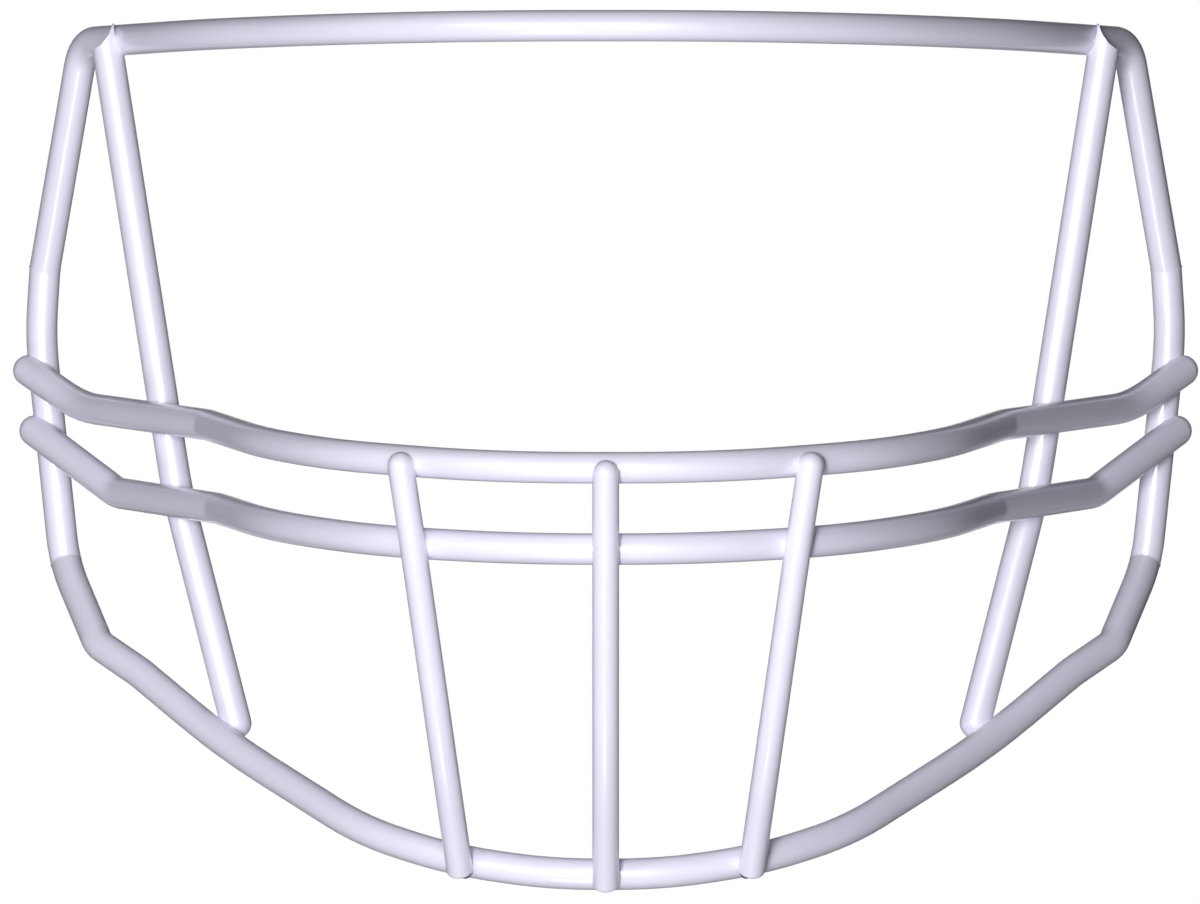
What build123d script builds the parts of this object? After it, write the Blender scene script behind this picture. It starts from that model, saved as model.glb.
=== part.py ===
from build123d import *
import math
import os

# Face guard for a football helmet: eleven bent steel wires, welded where they cross,
# under a thick white coating. Millimetres, +Z up, the front of the guard faces -Y and
# +X is the wearer's left. The origin is on the brow bar's axis at the mid-plane.

# Overall sizes, between wire axes
half_width = 120.0       # mid-plane to the outer end of a crossbar
reach = 143.0            # crossbar ends forward to the front of the upper crossbar
drop = 174.8             # brow bar down to the chin

# Wire sizes before coating, and the wall of the coating
loop_wire = 5.7
crossbar_wire = 5.7
pillar_wire = 5.7
vertical_wire = 4.7
coat_wall = 0.4

# How deep two wires are pressed into each other when they are welded
weld_set_down = 0.5
rail_end_set_down = 2.0
pillar_head_set_down = 2.1
nugget_share = 0.77      # weld nugget's radius, of the thinner wire's radius
foot_nugget_share = 0.54      # the same under a pillar's domed foot
nugget_depth_share = 0.84     # and its whole thickness, across the two wires
seam_weld_width = 0.8    # butt weld between two lengths of the outer loop

# Bends, as radii of the wire's axis. A bend without a radius here is as large as its
# two runs allow
brow_corner_bend = 9.0
jaw_corner_bend = 9.0
jaw_knee_bend = 40.0
crossbar_knee_bend = 14.0
upper_leg_bend = 40.0
lower_leg_bend = 12.0
pillar_bend = 60.0
vertical_bend = 90.0
run_share = 0.45         # most of a run that one bend may use

# Ends
foot_edge_radius = 0.7   # rounded rim of a coated end that is cut square
crossbar_end_overrun = 0.3
pillar_foot_set_back = 2.3    # centre of the domed foot, above its seat on the jaw bar
vertical_head_overrun = 0.3
vertical_foot_set_back = 1.0
vertical_bow = 5.8       # how far a vertical's bend stands in front of its chord
scoop_radius = 7.2       # the two hollow cuts that bring a pillar's head to a point
outer_scoop_shares = (1.828, 1.52)     # centre outboard of the head and above it, of the
inner_scoop_shares = (-2.689, 1.0)     # pillar's coated radius

# Bend corners of each bar as shares of half_width, reach and drop, for the wearer's
# left half. Forward shares count from the crossbar ends
brow_forward_share = 0.773
loop_top_seam_share = (0.9747, -0.028, 0.2829)
loop_bottom_seam_share = (0.9383, -0.049, 0.6333)
side_rail_corner_shares = [(0.9824, -0.035, 0.3649), (0.9442, -0.0479, 0.6130)]
brow_corner_shares = [(0.9052, 0.140, 0.0149), (0.69, 0.452, 0.0074), (0.4641, 0.649, 0.003), (0.1857, 0.773, 0.0)]
jaw_corner_shares = [
    (0.9290, -0.0193, 0.6536), (0.8799, 0.094, 0.7311), (0.8080, 0.165, 0.7641),
    (0.6567, 0.321, 0.8490), (0.4162, 0.572, 0.9509), (0.2632, 0.666, 0.9832), (0.0959, 0.712, 1.0),
]
upper_crossbar_corner_shares = [
    (0.9111, 0.080, 0.4486), (0.6852, 0.441, 0.47), (0.5845, 0.685, 0.4922),
    (0.4577, 0.837, 0.5062), (0.184, 1.0, 0.5206),
]
lower_crossbar_corner_shares = [
    (0.8473, 0.139, 0.5506), (0.6674, 0.434, 0.569), (0.5708, 0.673, 0.5897),
    (0.3915, 0.857, 0.6069), (0.1398, 0.961, 0.6162),
]

# Where the bars cross: down shares of drop on the side rails, across shares of
# half_width on the other bars
rail_upper_crossing_share = 0.4034
rail_lower_crossing_share = 0.4753
pillar_brow_crossing_share = 0.838
pillar_upper_crossing_share = 0.8016
pillar_lower_crossing_share = 0.779
pillar_jaw_crossing_share = 0.6696
vertical_upper_crossing_share = 0.3281
vertical_lower_crossing_share = 0.3095
vertical_chin_crossing_share = 0.233
vertical_bend_share = 0.62   # place of a vertical's bend between lower crossbar and chin

# Working overruns for cuts
seam_overrun = 6.0
scoop_length = 30.0
cutter_side = 40.0
search_steps = 40       # halvings that find a place on an axis
settling_rounds = 3     # a seat moves with the direction of its bar, so it is found again


def spot(shares, side=1):
    """Point of the guard from its shares; side is 1 on the wearer's left, -1 on the right."""
    across_share, forward_share, down_share = shares
    forward = reach * (forward_share - brow_forward_share)
    return Vector(side * half_width * across_share, -forward, -drop * down_share)


def across_the_guard(left_points):
    """The left half's points, followed by their mirror images from the mid-plane outwards."""
    right_points = [Vector(-p.X, p.Y, p.Z) for p in reversed(left_points)]
    return list(left_points) + right_points


def bend_radius(before, corner, after, wanted):
    """The wanted bend at a corner, or the largest that both of its runs allow."""
    back = before - corner
    ahead = after - corner
    half_turn = math.radians((180 - back.get_angle(ahead)) / 2)
    largest = run_share * min(back.length, ahead.length) / math.tan(half_turn)
    return largest if wanted is None else min(wanted, largest)


def bent_line(points, bends, grow_start=0, grow_end=0):
    """Axis of a bent wire: straight runs joined by arcs, with its two ends drawn out."""
    line = list(points)
    line[0] = line[0] + (line[0] - line[1]).normalized() * grow_start
    line[-1] = line[-1] + (line[-1] - line[-2]).normalized() * grow_end
    radii = [
        bend_radius(points[i - 1], points[i], points[i + 1], bends[i - 1])
        for i in range(1, len(points) - 1)
    ]
    if not radii:
        return Wire([Edge.make_line(line[0], line[-1])])
    return FilletPolyline(*line, radius=radii).wire()


def mirrored(plane):
    """The plane's mirror image, on the other side of the guard."""
    origin = Vector(-plane.origin.X, plane.origin.Y, plane.origin.Z)
    return Plane(origin=origin, z_dir=(-plane.z_dir.X, plane.z_dir.Y, plane.z_dir.Z))


def place_at_x(axis, x):
    """Point and direction where an axis that runs from +X to -X passes x."""
    low, high = 0.0, 1.0
    for _ in range(search_steps):
        middle = (low + high) / 2
        if (axis @ middle).X > x:
            low = middle
        else:
            high = middle
    return axis @ low, axis % low


def place_at_z(axis, z):
    """Point and direction where an axis that runs downwards passes z."""
    low, high = 0.0, 1.0
    for _ in range(search_steps):
        middle = (low + high) / 2
        if (axis @ middle).Z > z:
            low = middle
        else:
            high = middle
    return axis @ low, axis % low


def crossing(place, direction, wires, set_down, towards):
    """A second wire laid against a first: where its axis passes, and the plane of the weld."""
    point, tangent = place
    normal = tangent.cross(direction).normalized()
    if normal.dot(towards) < 0:
        normal = -normal
    first_wire, second_wire = wires
    seat = point + normal * ((first_wire + second_wire) / 2 - set_down)
    centre = point + normal * ((first_wire - set_down) / 2)
    return seat, Plane(origin=centre, z_dir=normal)


class Bar:
    """One bent wire: its bend corners and bends, its size and how each end is finished."""

    def __init__(self, points, bends, wire, ends):
        self.points = points
        self.bends = bends
        self.wire = wire
        self.ends = ends
        self.axis = bent_line(points, bends)
        self.seams = []      # mitre planes at the ends, facing away from the bar
        self.scoops = []     # centres of the hollow cuts at a pillar's head

    def rod(self, radius, square_end_growth, rim_radius):
        """Round solid along the axis, with domed, square or drawn-out ends."""
        growth = {"dome": 0, "square": square_end_growth, "seam": seam_overrun}
        axis = bent_line(self.points, self.bends, growth[self.ends[0]], growth[self.ends[1]])
        section = Plane(origin=axis @ 0, z_dir=axis % 0) * Circle(radius)
        solid = sweep(section, path=axis)
        outwards = {0: -(axis % 0), 1: axis % 1}
        for i, style in enumerate(self.ends):
            if style == "dome":
                cap = Sphere(radius, arc_size1=0, align=(Align.CENTER, Align.CENTER, Align.MIN))
                solid += Plane(origin=axis @ i, z_dir=outwards[i]) * cap
            if style == "square" and rim_radius > 0:
                rim = solid.edges().filter_by(GeomType.CIRCLE).sort_by_distance(axis @ i)[0]
                solid = solid.fillet(rim_radius, [rim])
        return solid

    def trimmed(self, solid, stand_off):
        """The solid cut back to its seams."""
        for plane in self.seams:
            beyond = Box(cutter_side, cutter_side, cutter_side, align=(Align.CENTER, Align.CENTER, Align.MIN))
            solid -= plane.offset(-stand_off) * beyond
        return solid

    def scooped(self, solid, radius):
        """The solid with the hollow cuts taken out of a pillar's head."""
        for centre in self.scoops:
            solid -= Plane(origin=centre, z_dir=(0, 1, 0)) * Cylinder(radius, scoop_length)
        return solid

    def steel(self):
        """The bare wire at its full length, run on past its seams."""
        return self.scooped(self.rod(self.wire / 2, 0, 0), scoop_radius + coat_wall)

    def coated(self):
        """The wire with its coating, as one round solid."""
        rod = self.rod(self.wire / 2 + coat_wall, coat_wall, foot_edge_radius)
        return self.trimmed(self.scooped(rod, scoop_radius), 0)


def one_solid(shape):
    """The largest solid of a shape, without the loose flakes that a cut can leave."""
    return max(shape.solids(), key=lambda solid: solid.volume)


# Outer loop: brow hoop, two side rails and jaw hoop, mitred and butt-welded at four seams
bars = {}
welds = {}               # weld node: list of (first bar, second bar, weld plane)
sides = {"left": 1, "right": -1}

brow_points = across_the_guard([spot(loop_top_seam_share)] + [spot(s) for s in brow_corner_shares])
brow_bends = [brow_corner_bend] + [None] * (len(brow_points) - 4) + [brow_corner_bend]
jaw_points = across_the_guard([spot(loop_bottom_seam_share)] + [spot(s) for s in jaw_corner_shares])
jaw_end_bends = [None, jaw_corner_bend, jaw_knee_bend]
jaw_bends = jaw_end_bends + [None] * (len(jaw_points) - 8) + jaw_end_bends[::-1]
bars["brow_hoop"] = Bar(brow_points, brow_bends, loop_wire, ("seam", "seam"))
bars["jaw_hoop"] = Bar(jaw_points, jaw_bends, loop_wire, ("seam", "seam"))

seam_planes = []         # (weld plane, bar behind it, bar in front of it)
for name, side in sides.items():
    rail_shares = [loop_top_seam_share, *side_rail_corner_shares, loop_bottom_seam_share]
    rail_points = [spot(shares, side) for shares in rail_shares]
    rail = Bar(rail_points, [None] * len(side_rail_corner_shares), loop_wire, ("seam", "seam"))
    bars[name + "_side_rail"] = rail
    next_in = 1 if side > 0 else -2    # the hoops run from the wearer's left to the right
    for hoop, seam, rail_next in (("brow_hoop", rail_points[0], 1), ("jaw_hoop", rail_points[-1], -2)):
        out_of_hoop = (seam - bars[hoop].points[next_in]).normalized()
        into_rail = (rail_points[rail_next] - seam).normalized()
        facing = out_of_hoop + into_rail
        plane = Plane(origin=seam, z_dir=facing)
        bars[hoop].seams.append(plane)
        rail.seams.append(Plane(origin=seam, z_dir=-facing))
        seam_planes.append((plane, bars[hoop], rail))


# Crossbars: each end lies against the outside of a side rail and stops at its weld
def crossbar(bar_name, corner_shares, leg_bend, rail_crossing_share):
    """A crossbar from its corners, with its two ends laid on the side rails."""
    place = place_at_z(bars["left_side_rail"].axis, -drop * rail_crossing_share)
    corner = spot(corner_shares[0])
    seat = place[0]
    for _ in range(settling_rounds):
        wires = (loop_wire, crossbar_wire)
        seat, weld = crossing(place, corner - seat, wires, rail_end_set_down, Vector(1, -1, 0))
    rail_welds = welds.setdefault("rail_crossbar_welds", [])
    rail_welds.append(("left_side_rail", bar_name, weld))
    rail_welds.append(("right_side_rail", bar_name, mirrored(weld)))
    end = seat + (seat - corner).normalized() * crossbar_end_overrun
    points = across_the_guard([end] + [spot(s) for s in corner_shares])
    end_bends = [leg_bend, crossbar_knee_bend]
    bends = end_bends + [None] * (len(points) - 6) + end_bends[::-1]
    return Bar(points, bends, crossbar_wire, ("dome", "dome"))


bars["upper_crossbar"] = crossbar(
    "upper_crossbar", upper_crossbar_corner_shares, upper_leg_bend, rail_upper_crossing_share,
)
bars["lower_crossbar"] = crossbar(
    "lower_crossbar", lower_crossbar_corner_shares, lower_leg_bend, rail_lower_crossing_share,
)


# Pillars: laid on the outside of the brow bar, behind both crossbars and the jaw bar
def pillar(bar_name, side):
    """One side pillar, laid against the four bars that it crosses."""
    stops = [
        ("brow_hoop", pillar_brow_crossing_share, pillar_head_set_down),
        ("upper_crossbar", pillar_upper_crossing_share, weld_set_down),
        ("lower_crossbar", pillar_lower_crossing_share, weld_set_down),
        ("jaw_hoop", pillar_jaw_crossing_share, weld_set_down),
    ]
    places = [place_at_x(bars[bar].axis, side * half_width * share) for bar, share, _ in stops]
    head, upper, lower, foot = [place[0] for place in places]
    inwards = Vector(-side, 1, 0)
    for _ in range(settling_rounds):
        directions = [upper - head, lower - head, foot - upper, foot - lower]
        seats = []
        planes = []
        for (bar, _, set_down), place, direction in zip(stops, places, directions):
            towards = -inwards if bar == "brow_hoop" else inwards
            seat, weld = crossing(place, direction, (bars[bar].wire, pillar_wire), set_down, towards)
            seats.append(seat)
            planes.append(weld)
        head, upper, lower, foot = seats
    up = (head - upper).normalized()
    down = (foot - lower).normalized()
    bottom = foot - down * pillar_foot_set_back
    jaw_point, jaw_line = places[-1]
    below = jaw_point + jaw_line * (bottom - jaw_point).dot(jaw_line)
    planes[-1] = Plane(origin=(below + bottom) / 2, z_dir=bottom - below)
    groups = ["brow_pillar_welds", "pillar_crossbar_welds", "pillar_crossbar_welds", "jaw_pillar_welds"]
    for (bar, _, _), weld, group in zip(stops, planes, groups):
        welds.setdefault(group, []).append((bar, bar_name, weld))
    coated_radius = pillar_wire / 2 + coat_wall
    top = head + up * (loop_wire / 2 + coat_wall)
    bar = Bar([top, upper, lower, bottom], [pillar_bend, pillar_bend], pillar_wire, ("square", "dome"))
    for out_share, rise_share in (outer_scoop_shares, inner_scoop_shares):
        offset = Vector(side * out_share, 0, rise_share) * coated_radius
        bar.scoops.append(head + offset)
    return bar


# Verticals: laid on the front of both crossbars and of the chin
def vertical(bar_name, side):
    """One front vertical, laid against three bars and bent above the chin."""
    stops = [
        ("upper_crossbar", vertical_upper_crossing_share),
        ("lower_crossbar", vertical_lower_crossing_share),
        ("jaw_hoop", vertical_chin_crossing_share),
    ]
    places = [place_at_x(bars[bar].axis, side * half_width * share) for bar, share in stops]
    head, lower, foot = [place[0] for place in places]
    for _ in range(settling_rounds):
        corner = lower + (foot - lower) * vertical_bend_share + Vector(0, -vertical_bow, 0)
        directions = [lower - head, corner - head, foot - corner]
        seats = []
        planes = []
        for (bar, _), place, direction in zip(stops, places, directions):
            wires = (bars[bar].wire, vertical_wire)
            seat, weld = crossing(place, direction, wires, weld_set_down, Vector(0, -1, 0))
            seats.append(seat)
            planes.append(weld)
        head, lower, foot = seats
    groups = ["crossbar_vertical_welds", "crossbar_vertical_welds", "chin_vertical_welds"]
    for (bar, _), weld, group in zip(stops, planes, groups):
        welds.setdefault(group, []).append((bar, bar_name, weld))
    top = head + (head - lower).normalized() * vertical_head_overrun
    bottom = foot - (foot - corner).normalized() * vertical_foot_set_back
    return Bar([top, lower, corner, bottom], [vertical_bend, vertical_bend], vertical_wire, ("dome", "square"))


for name, side in sides.items():
    bars[name + "_pillar"] = pillar(name + "_pillar", side)
for name, side in (("left_vertical", 1), ("centre_vertical", 0), ("right_vertical", -1)):
    bars[name] = vertical(name, side)

# Weld metal: a nugget at every crossing and a short length of wire at every seam
nuggets = {}
for group, spots in welds.items():
    share = foot_nugget_share if group == "jaw_pillar_welds" else nugget_share
    nuggets[group] = []
    for first, second, weld in spots:
        thinner_radius = min(bars[first].wire, bars[second].wire) / 2
        nugget = weld * Cylinder(share * thinner_radius, nugget_depth_share * thinner_radius)
        nuggets[group].append(bars[second].scooped(nugget, scoop_radius + coat_wall))

steels = {name: bar.steel() for name, bar in bars.items()}
coated = {name: bar.coated() for name, bar in bars.items()}
crossed = {name: [] for name in bars}
for spots in welds.values():
    for first, second, _ in spots:
        crossed[first].append(second)
        crossed[second].append(first)

nodes = {}
seam_welds = []
for plane, hoop, rail in seam_planes:
    half_slab = Box(cutter_side, cutter_side, seam_weld_width / 2, align=(Align.CENTER, Align.CENTER, Align.MIN))
    behind = hoop.steel() & plane.offset(-seam_weld_width / 2) * half_slab
    ahead = rail.steel() & plane * half_slab
    seam_welds.append(behind + ahead)
nodes["seam_welds"] = Compound(children=[one_solid(weld) for weld in seam_welds])

order = list(bars)
for i, (name, bar) in enumerate(bars.items()):
    earlier = [other for other in crossed[name] if order.index(other) < i]
    touching = [
        nugget for group, spots in welds.items()
        for nugget, (first, second, _) in zip(nuggets[group], spots) if name in (first, second)
    ]
    wire = bar.trimmed(steels[name], seam_weld_width / 2)
    for other in earlier:
        wire -= steels[other]
    coat = coated[name] - steels[name]
    for other in crossed[name]:
        coat -= coated[other] if other in earlier else steels[other]
    for nugget in touching:
        wire -= nugget
        coat -= nugget
    nodes[name + "_wire"] = one_solid(wire)
    nodes[name + "_coat"] = one_solid(coat)
for group, discs in nuggets.items():
    nodes[group] = Compound(children=[one_solid(nugget) for nugget in discs])

os.makedirs("parts", exist_ok=True)
for name, shape in nodes.items():
    shape.label = name
    export_step(shape, "parts/" + name + ".step")
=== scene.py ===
import bpy
import math
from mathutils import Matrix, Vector


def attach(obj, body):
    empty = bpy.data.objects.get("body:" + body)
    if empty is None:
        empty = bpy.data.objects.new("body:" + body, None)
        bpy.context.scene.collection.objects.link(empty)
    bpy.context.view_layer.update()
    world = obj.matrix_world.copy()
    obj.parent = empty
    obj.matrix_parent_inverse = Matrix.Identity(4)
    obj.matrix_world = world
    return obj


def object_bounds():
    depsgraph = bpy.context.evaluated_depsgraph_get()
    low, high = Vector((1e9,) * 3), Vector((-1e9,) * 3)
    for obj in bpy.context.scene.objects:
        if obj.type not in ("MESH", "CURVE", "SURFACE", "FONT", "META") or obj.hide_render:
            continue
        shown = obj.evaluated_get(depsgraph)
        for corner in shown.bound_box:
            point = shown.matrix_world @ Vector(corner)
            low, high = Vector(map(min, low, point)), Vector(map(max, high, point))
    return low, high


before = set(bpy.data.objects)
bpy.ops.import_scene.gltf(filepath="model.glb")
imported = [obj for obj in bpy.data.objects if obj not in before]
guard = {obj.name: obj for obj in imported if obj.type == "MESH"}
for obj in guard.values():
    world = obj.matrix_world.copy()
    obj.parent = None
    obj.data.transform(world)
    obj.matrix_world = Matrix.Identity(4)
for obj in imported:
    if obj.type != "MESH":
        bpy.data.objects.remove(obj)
cad_low, cad_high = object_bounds()

# The viewer's place. The guard is looked at square from the front, level with the lower edge
# of its eye opening, and from so far away that its front bars look hardly larger than its rails.
view_width = 0.24852
view_centre = Vector((-0.00117, 0.050, -0.08778))
lens = 1250.0
film_width = 36.0
nearest_seen = 0.1
camera_distance = view_width * lens / film_width
farthest_seen = 3 * camera_distance
camera_data = bpy.data.cameras.new("front_camera")
camera_data.type = "PERSP"
camera_data.sensor_width = film_width
camera_data.lens = lens
camera_data.clip_start = nearest_seen
camera_data.clip_end = farthest_seen
camera = bpy.data.objects.new("front_camera", camera_data)
camera.location = view_centre - Vector((0, camera_distance, 0))
camera.rotation_euler = (math.radians(90), 0, 0)
bpy.context.scene.collection.objects.link(camera)
bpy.context.scene.camera = camera
bpy.context.scene.view_settings.view_transform = "Standard"


# The room: plain white as far as the eye reaches. Reflections show the white sheet that hangs
# behind the guard, and beside it a dim cool room, so that the bars stay grey at their edges.
def add(tree, kind, **settings):
    """A new node in the tree, with its settings."""
    made = tree.nodes.new(kind)
    for setting, value in settings.items():
        setattr(made, setting, value)
    return made


sheet_half_angle = math.radians(8)
sheet_fade_angle = math.radians(18)
room_white = (1, 1, 1, 1)
white_strength = 1.0
dim_air_colour = (0.93, 0.94, 1.0, 1)
dim_air_strength = 0.02
room = bpy.data.worlds.new("white_room")
room.use_nodes = True
bpy.context.scene.world = room
air = room.node_tree
air.nodes.clear()
air_out = add(air, "ShaderNodeOutputWorld")
air_seen = add(air, "ShaderNodeBackground")
air_seen.inputs["Color"].default_value = room_white
air_seen.inputs["Strength"].default_value = white_strength
air_fill = add(air, "ShaderNodeBackground")
air_fill.inputs["Color"].default_value = dim_air_colour
air_fill.inputs["Strength"].default_value = dim_air_strength
air_rays = add(air, "ShaderNodeLightPath")
air_place = add(air, "ShaderNodeTexCoord")
air_ahead = add(air, "ShaderNodeSeparateXYZ")
air_sheet = add(air, "ShaderNodeMapRange", interpolation_type="SMOOTHSTEP")
air_sheet.inputs["From Min"].default_value = math.cos(sheet_fade_angle)
air_sheet.inputs["From Max"].default_value = math.cos(sheet_half_angle)
air_mirrored = add(air, "ShaderNodeMath", operation="MAXIMUM")
air_behind = add(air, "ShaderNodeMath", operation="MULTIPLY")
air_any = add(air, "ShaderNodeMath", operation="MAXIMUM")
air_mix = add(air, "ShaderNodeMixShader")
air.links.new(air_place.outputs["Generated"], air_ahead.inputs[0])
air.links.new(air_ahead.outputs["Y"], air_sheet.inputs["Value"])
air.links.new(air_rays.outputs["Is Glossy Ray"], air_mirrored.inputs[0])
air.links.new(air_rays.outputs["Is Transmission Ray"], air_mirrored.inputs[1])
air.links.new(air_mirrored.outputs[0], air_behind.inputs[0])
air.links.new(air_sheet.outputs[0], air_behind.inputs[1])
air.links.new(air_rays.outputs["Is Camera Ray"], air_any.inputs[0])
air.links.new(air_behind.outputs[0], air_any.inputs[1])
air.links.new(air_any.outputs[0], air_mix.inputs[0])
air.links.new(air_fill.outputs[0], air_mix.inputs[1])
air.links.new(air_seen.outputs[0], air_mix.inputs[2])
air.links.new(air_mix.outputs[0], air_out.inputs[0])

# The lamps. Most of the light comes from one far lamp in front, a little to the left, so the bars
# darken towards their edges and more so on the right. A soft box hangs close in front, two softer
# lamps stand to the left, and a low one lights the upper side legs, which lean back. Two lamps
# behind light the back and the top and leave no glare on the edges. Each row: name, degrees from
# the front towards the wearer's left, degrees up, metres away (0 for a far lamp), size in metres
# or in degrees, and strength.
lamp_aim = Vector((0, 0.03, -0.09))
far_lamp_away = 2.0
lamps = (
    ("front_far", -8, 1, 0, 12, 2.12),
    ("front_box", -4, 0, 0.4, 0.14, 0.40),
    ("left_far", -35, 8, 0, 12, 0.40),
    ("upper_left_far", -54, 35, 0, 40, 0.15),
    ("low_far", -14, -54, 0, 10, 0.40),
    ("back_far", 180, 6, 0, 25, 2.20),
    ("back_top_far", 150, 72, 0, 14, 0.24),
)
for name, across, up, away, size, strength in lamps:
    turn, rise = math.radians(across), math.radians(up)
    flat = math.cos(rise)
    towards = Vector((math.sin(turn) * flat, -math.cos(turn) * flat, math.sin(rise)))
    if away > 0:
        lamp_data = bpy.data.lights.new(name, "AREA")
        lamp_data.shape = "DISK"
        lamp_data.size = size
    else:
        lamp_data = bpy.data.lights.new(name, "SUN")
        lamp_data.angle = math.radians(size)
    lamp_data.energy = strength
    lamp = bpy.data.objects.new(name, lamp_data)
    lamp.location = lamp_aim + towards * (away if away > 0 else far_lamp_away)
    lamp.rotation_euler = (-towards).to_track_quat("-Z", "Y").to_euler()
    lamp.visible_camera = False
    lamp.visible_glossy = not name.startswith("back")
    bpy.context.scene.collection.objects.link(lamp)

# The table: a pale round top just below the chin bar. It takes the guard's soft shadow, pales
# into the white room towards its rim, and lets the lamps that stand below it through.
table_middle = (0, 0.04, -0.1895)
table_radius = 0.62
table_pale_from = 0.26
table_pale_to = 0.60
table_grain_scale = 420.0
table_darker = (0.50, 0.50, 0.51, 1)
table_lighter = (0.53, 0.53, 0.53, 1)
table_glow = 0.78
rim_points = 96
rim = []
for point in range(rim_points):
    turn = 2 * math.pi * point / rim_points
    rim.append((table_radius * math.cos(turn), table_radius * math.sin(turn), 0))
table_mesh = bpy.data.meshes.new("table_top")
table_mesh.from_pydata(rim, [], [list(range(rim_points))])
table = bpy.data.objects.new("table_top", table_mesh)
table.location = table_middle
bpy.context.scene.collection.objects.link(table)

table_paint = bpy.data.materials.new("pale_table")
table_paint.use_nodes = True
paint = table_paint.node_tree
paint.nodes.clear()
paint_out = add(paint, "ShaderNodeOutputMaterial")
paint_rays = add(paint, "ShaderNodeLightPath")
paint_place = add(paint, "ShaderNodeTexCoord")
paint_reach = add(paint, "ShaderNodeVectorMath", operation="LENGTH")
paint_fade = add(paint, "ShaderNodeMapRange", interpolation_type="SMOOTHSTEP")
paint_fade.inputs["From Min"].default_value = table_pale_from
paint_fade.inputs["From Max"].default_value = table_pale_to
paint_grain = add(paint, "ShaderNodeTexNoise")
paint_grain.inputs["Scale"].default_value = table_grain_scale
paint_tone = add(paint, "ShaderNodeMix", data_type="RGBA")
paint_tone.inputs["A"].default_value = table_darker
paint_tone.inputs["B"].default_value = table_lighter
paint_dull = add(paint, "ShaderNodeBsdfDiffuse")
paint_glow = add(paint, "ShaderNodeEmission")
paint_glow.inputs["Strength"].default_value = table_glow
paint_white = add(paint, "ShaderNodeEmission")
paint_white.inputs["Strength"].default_value = white_strength
paint_lit = add(paint, "ShaderNodeMixShader")
paint_both = add(paint, "ShaderNodeAddShader")
paint_rim = add(paint, "ShaderNodeMath", operation="MULTIPLY")
paint_faded = add(paint, "ShaderNodeMixShader")
paint_sides = add(paint, "ShaderNodeNewGeometry")
paint_open = add(paint, "ShaderNodeMath", operation="MAXIMUM")
paint_clear = add(paint, "ShaderNodeBsdfTransparent")
paint_top = add(paint, "ShaderNodeMixShader")
paint.links.new(paint_place.outputs["Object"], paint_reach.inputs[0])
paint.links.new(paint_reach.outputs["Value"], paint_fade.inputs["Value"])
paint.links.new(paint_place.outputs["Object"], paint_grain.inputs["Vector"])
paint.links.new(paint_grain.outputs["Fac"], paint_tone.inputs["Factor"])
paint.links.new(paint_tone.outputs["Result"], paint_dull.inputs["Color"])
paint.links.new(paint_rays.outputs["Is Camera Ray"], paint_lit.inputs[0])
paint.links.new(paint_glow.outputs[0], paint_lit.inputs[2])
paint.links.new(paint_lit.outputs[0], paint_both.inputs[0])
paint.links.new(paint_dull.outputs[0], paint_both.inputs[1])
paint.links.new(paint_fade.outputs[0], paint_rim.inputs[0])
paint.links.new(paint_rays.outputs["Is Camera Ray"], paint_rim.inputs[1])
paint.links.new(paint_rim.outputs[0], paint_faded.inputs[0])
paint.links.new(paint_both.outputs[0], paint_faded.inputs[1])
paint.links.new(paint_white.outputs[0], paint_faded.inputs[2])
paint.links.new(paint_sides.outputs["Backfacing"], paint_open.inputs[0])
paint.links.new(paint_rays.outputs["Is Shadow Ray"], paint_open.inputs[1])
paint.links.new(paint_open.outputs[0], paint_top.inputs[0])
paint.links.new(paint_faded.outputs[0], paint_top.inputs[1])
paint.links.new(paint_clear.outputs[0], paint_top.inputs[2])
paint.links.new(paint_top.outputs[0], paint_out.inputs[0])
table_mesh.materials.append(table_paint)

# The wires: mild steel drawn through dies, bent cold and left bare until the cage is coated.
# The dies leave fine scratches and a thin grey scale. The coating hides them everywhere.
wire_dark = (0.36, 0.37, 0.39, 1)
wire_light = (0.52, 0.53, 0.55, 1)
wire_smoothest, wire_dullest = 0.28, 0.46
wire_scale_size, wire_scale_detail = 160.0, 6.0
wire_scratch_size = 2400.0
wire_scratch_strength, wire_scratch_depth = 0.15, 0.00005
steel = bpy.data.materials.new("drawn_steel")
steel.use_nodes = True
wire = steel.node_tree
wire_shader = wire.nodes["Principled BSDF"]
wire_shader.inputs["Metallic"].default_value = 1.0
wire_place = add(wire, "ShaderNodeTexCoord")
wire_scale = add(wire, "ShaderNodeTexNoise")
wire_scale.inputs["Scale"].default_value = wire_scale_size
wire_scale.inputs["Detail"].default_value = wire_scale_detail
wire_scratch = add(wire, "ShaderNodeTexNoise")
wire_scratch.inputs["Scale"].default_value = wire_scratch_size
wire_tone = add(wire, "ShaderNodeMix", data_type="RGBA")
wire_tone.inputs["A"].default_value = wire_dark
wire_tone.inputs["B"].default_value = wire_light
wire_rough = add(wire, "ShaderNodeMapRange")
wire_rough.inputs["To Min"].default_value = wire_smoothest
wire_rough.inputs["To Max"].default_value = wire_dullest
wire_bump = add(wire, "ShaderNodeBump")
wire_bump.inputs["Strength"].default_value = wire_scratch_strength
wire_bump.inputs["Distance"].default_value = wire_scratch_depth
wire.links.new(wire_place.outputs["Object"], wire_scale.inputs["Vector"])
wire.links.new(wire_place.outputs["Object"], wire_scratch.inputs["Vector"])
wire.links.new(wire_scale.outputs["Fac"], wire_tone.inputs["Factor"])
wire.links.new(wire_scale.outputs["Fac"], wire_rough.inputs["Value"])
wire.links.new(wire_scratch.outputs["Fac"], wire_bump.inputs["Height"])
wire.links.new(wire_tone.outputs["Result"], wire_shader.inputs["Base Color"])
wire.links.new(wire_rough.outputs[0], wire_shader.inputs["Roughness"])
wire.links.new(wire_bump.outputs[0], wire_shader.inputs["Normal"])
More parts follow.
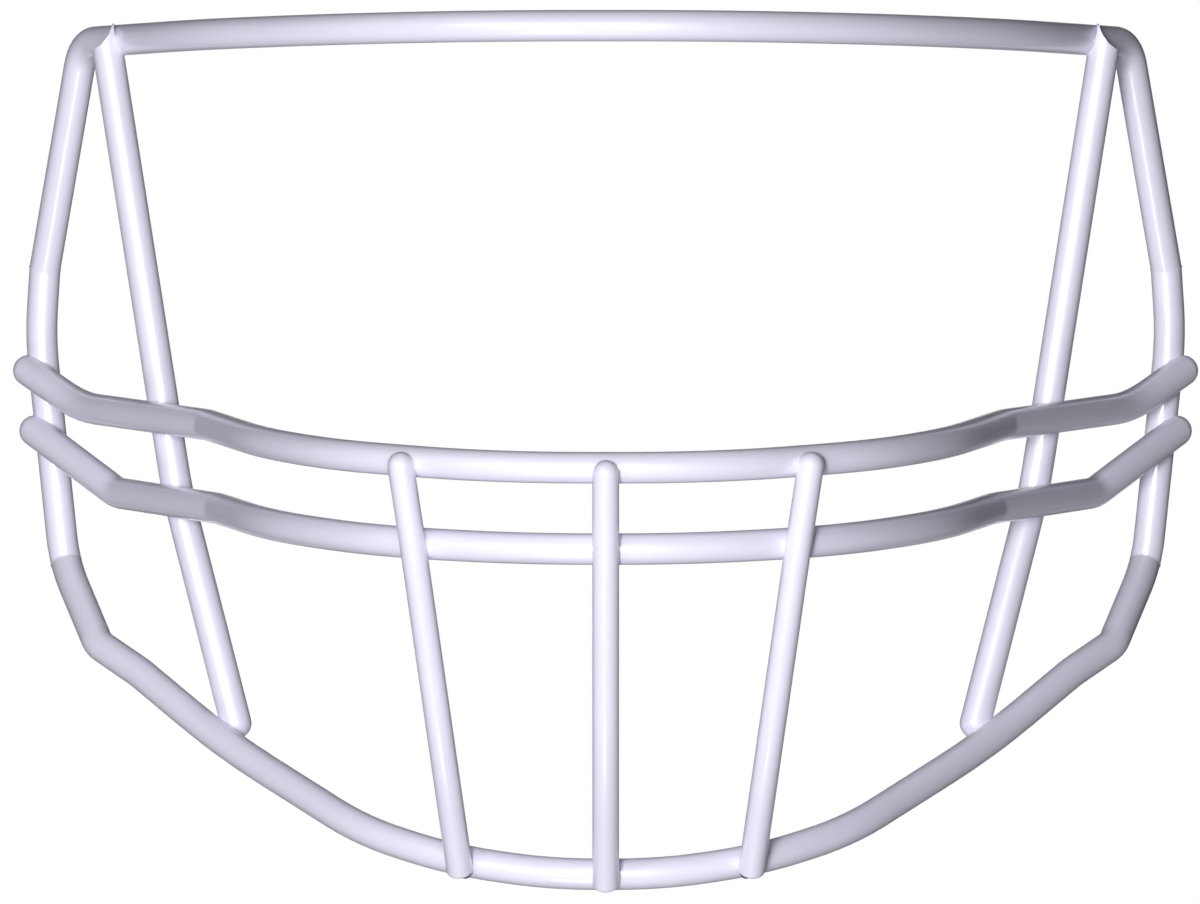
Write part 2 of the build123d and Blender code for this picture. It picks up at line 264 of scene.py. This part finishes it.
for name, node in guard.items():
    if name.endswith("_wire"):
        node.data.materials.clear()
        node.data.materials.append(steel)

# The welds: resistance-weld nuggets where bars cross, and butt welds at the four seams of the
# loop. The metal is duller and darker than the wire, with ripples where it froze.
weld_dark = (0.26, 0.25, 0.27, 1)
weld_light = (0.40, 0.38, 0.36, 1)
weld_smoothest, weld_dullest = 0.45, 0.65
weld_heat_size = 300.0
weld_ripple_size, weld_ripple_distortion = 260.0, 3.0
weld_ripple_strength, weld_ripple_depth = 0.3, 0.0001
weld_metal = bpy.data.materials.new("weld_metal")
weld_metal.use_nodes = True
bead = weld_metal.node_tree
bead_shader = bead.nodes["Principled BSDF"]
bead_shader.inputs["Metallic"].default_value = 1.0
bead_place = add(bead, "ShaderNodeTexCoord")
bead_ripple = add(bead, "ShaderNodeTexWave", wave_type="RINGS")
bead_ripple.inputs["Scale"].default_value = weld_ripple_size
bead_ripple.inputs["Distortion"].default_value = weld_ripple_distortion
bead_heat = add(bead, "ShaderNodeTexNoise")
bead_heat.inputs["Scale"].default_value = weld_heat_size
bead_tone = add(bead, "ShaderNodeMix", data_type="RGBA")
bead_tone.inputs["A"].default_value = weld_dark
bead_tone.inputs["B"].default_value = weld_light
bead_rough = add(bead, "ShaderNodeMapRange")
bead_rough.inputs["To Min"].default_value = weld_smoothest
bead_rough.inputs["To Max"].default_value = weld_dullest
bead_bump = add(bead, "ShaderNodeBump")
bead_bump.inputs["Strength"].default_value = weld_ripple_strength
bead_bump.inputs["Distance"].default_value = weld_ripple_depth
bead.links.new(bead_place.outputs["Object"], bead_ripple.inputs["Vector"])
bead.links.new(bead_place.outputs["Object"], bead_heat.inputs["Vector"])
bead.links.new(bead_heat.outputs["Fac"], bead_tone.inputs["Factor"])
bead.links.new(bead_heat.outputs["Fac"], bead_rough.inputs["Value"])
bead.links.new(bead_ripple.outputs["Fac"], bead_bump.inputs["Height"])
bead.links.new(bead_tone.outputs["Result"], bead_shader.inputs["Base Color"])
bead.links.new(bead_rough.outputs[0], bead_shader.inputs["Roughness"])
bead.links.new(bead_bump.outputs[0], bead_shader.inputs["Normal"])
for name, node in guard.items():
    if name.endswith("_welds"):
        node.data.materials.clear()
        node.data.materials.append(weld_metal)

# The coating: a thick white plastic, sprayed on as powder and melted into one smooth skin over
# the whole cage. It is glossy, with a cool lavender cast, and as it set it kept a faint peel.
coating_darker = (0.785, 0.770, 0.920, 1)
coating_lighter = (0.815, 0.800, 0.940, 1)
coating_smoothest, coating_dullest = 0.36, 0.46
coating_ior = 1.5
coating_shine = 1.0
skin_weight, skin_roughness = 1.0, 0.20
peel_size, peel_detail = 620.0, 1.5
cloud_size, cloud_detail = 40.0, 3.0
peel_strength, peel_depth = 0.05, 0.0002
skin = bpy.data.node_groups.new("coating_skin", "ShaderNodeTree")
skin.interface.new_socket("Peel Scale", in_out="INPUT", socket_type="NodeSocketFloat")
skin.interface.new_socket("Cloud Scale", in_out="INPUT", socket_type="NodeSocketFloat")
skin.interface.new_socket("Smoothest", in_out="INPUT", socket_type="NodeSocketFloat")
skin.interface.new_socket("Dullest", in_out="INPUT", socket_type="NodeSocketFloat")
skin.interface.new_socket("Height", in_out="OUTPUT", socket_type="NodeSocketFloat")
skin.interface.new_socket("Roughness", in_out="OUTPUT", socket_type="NodeSocketFloat")
skin.interface.new_socket("Cloud", in_out="OUTPUT", socket_type="NodeSocketFloat")
skin_in = add(skin, "NodeGroupInput")
skin_out = add(skin, "NodeGroupOutput")
skin_place = add(skin, "ShaderNodeTexCoord")
skin_peel = add(skin, "ShaderNodeTexNoise")
skin_peel.inputs["Detail"].default_value = peel_detail
skin_cloud = add(skin, "ShaderNodeTexNoise")
skin_cloud.inputs["Detail"].default_value = cloud_detail
skin_gloss = add(skin, "ShaderNodeMapRange")
skin.links.new(skin_place.outputs["Object"], skin_peel.inputs["Vector"])
skin.links.new(skin_place.outputs["Object"], skin_cloud.inputs["Vector"])
skin.links.new(skin_in.outputs["Peel Scale"], skin_peel.inputs["Scale"])
skin.links.new(skin_in.outputs["Cloud Scale"], skin_cloud.inputs["Scale"])
skin.links.new(skin_cloud.outputs["Fac"], skin_gloss.inputs["Value"])
skin.links.new(skin_in.outputs["Smoothest"], skin_gloss.inputs["To Min"])
skin.links.new(skin_in.outputs["Dullest"], skin_gloss.inputs["To Max"])
skin.links.new(skin_peel.outputs["Fac"], skin_out.inputs["Height"])
skin.links.new(skin_gloss.outputs[0], skin_out.inputs["Roughness"])
skin.links.new(skin_cloud.outputs["Fac"], skin_out.inputs["Cloud"])

coating = bpy.data.materials.new("white_coating")
coating.use_nodes = True
coat = coating.node_tree
coat_shader = coat.nodes["Principled BSDF"]
coat_shader.inputs["IOR"].default_value = coating_ior
coat_shader.inputs["Specular IOR Level"].default_value = coating_shine
coat_shader.inputs["Coat Weight"].default_value = skin_weight
coat_shader.inputs["Coat Roughness"].default_value = skin_roughness
coat_skin = add(coat, "ShaderNodeGroup", node_tree=skin)
coat_skin.inputs["Peel Scale"].default_value = peel_size
coat_skin.inputs["Cloud Scale"].default_value = cloud_size
coat_skin.inputs["Smoothest"].default_value = coating_smoothest
coat_skin.inputs["Dullest"].default_value = coating_dullest
coat_tone = add(coat, "ShaderNodeMix", data_type="RGBA")
coat_tone.inputs["A"].default_value = coating_darker
coat_tone.inputs["B"].default_value = coating_lighter
coat_bump = add(coat, "ShaderNodeBump")
coat_bump.inputs["Strength"].default_value = peel_strength
coat_bump.inputs["Distance"].default_value = peel_depth
coat.links.new(coat_skin.outputs["Cloud"], coat_tone.inputs["Factor"])
coat.links.new(coat_tone.outputs["Result"], coat_shader.inputs["Base Color"])
coat.links.new(coat_skin.outputs["Roughness"], coat_shader.inputs["Roughness"])
coat.links.new(coat_skin.outputs["Height"], coat_bump.inputs["Height"])
coat.links.new(coat_bump.outputs[0], coat_shader.inputs["Normal"])
for name, node in guard.items():
    if name.endswith("_coat"):
        node.data.materials.clear()
        node.data.materials.append(coating)

# The seams: the loop's four lengths are butt-welded end to end at the ears. The weld's flash is
# ground low in front and flush behind, and shows through the coating as a faint ring.
bar_radius = 0.00325
flash_radius = 0.00022
flash_depth = 0.00012
flash_steps = 64
flash_sides = 10
# The two seams of the left side: a point of the bar's line before the seam, at it and after it.
seams = (
    (
        (0.108624, 0.090519, -0.002605),
        (0.116964, 0.114543, -0.049451),
        (0.117888, 0.115544, -0.063785),
    ),
    (
        (0.113304, 0.117389, -0.107152),
        (0.112596, 0.117546, -0.110701),
        (0.111480, 0.113299, -0.114249),
    ),
)
flash_points = []
flash_faces = []
for side in (1, -1):
    for line in seams:
        before, seam, after = [Vector((side * x, y, z)) for x, y, z in line]
        along = (seam - before).normalized()
        square = (along + (after - seam).normalized()).normalized()
        first_axis = square.orthogonal().normalized()
        second_axis = square.cross(first_axis)
        start = len(flash_points)
        for step in range(flash_steps):
            turn = 2 * math.pi * step / flash_steps
            outward = math.cos(turn) * first_axis + math.sin(turn) * second_axis
            reach = bar_radius / math.sqrt(1 - outward.dot(along) ** 2) - flash_depth
            for edge in range(flash_sides):
                round_turn = 2 * math.pi * edge / flash_sides
                rise_off = flash_radius * math.cos(round_turn)
                side_off = flash_radius * math.sin(round_turn)
                place = seam + (reach + rise_off) * outward + side_off * square
                flash_points.append((place.x, min(place.y, cad_high[1]), place.z))
        for step in range(flash_steps):
            here = start + step * flash_sides
            there = start + (step + 1) % flash_steps * flash_sides
            for edge in range(flash_sides):
                beside = (edge + 1) % flash_sides
                flash_faces.append((here + edge, here + beside, there + beside, there + edge))
flash_mesh = bpy.data.meshes.new("seam_flash")
flash_mesh.from_pydata(flash_points, [], flash_faces)
flash_mesh.shade_smooth()
flash = bpy.data.objects.new("seam_flash", flash_mesh)
bpy.context.scene.collection.objects.link(flash)
flash_mesh.materials.append(coating)
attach(flash, "root")
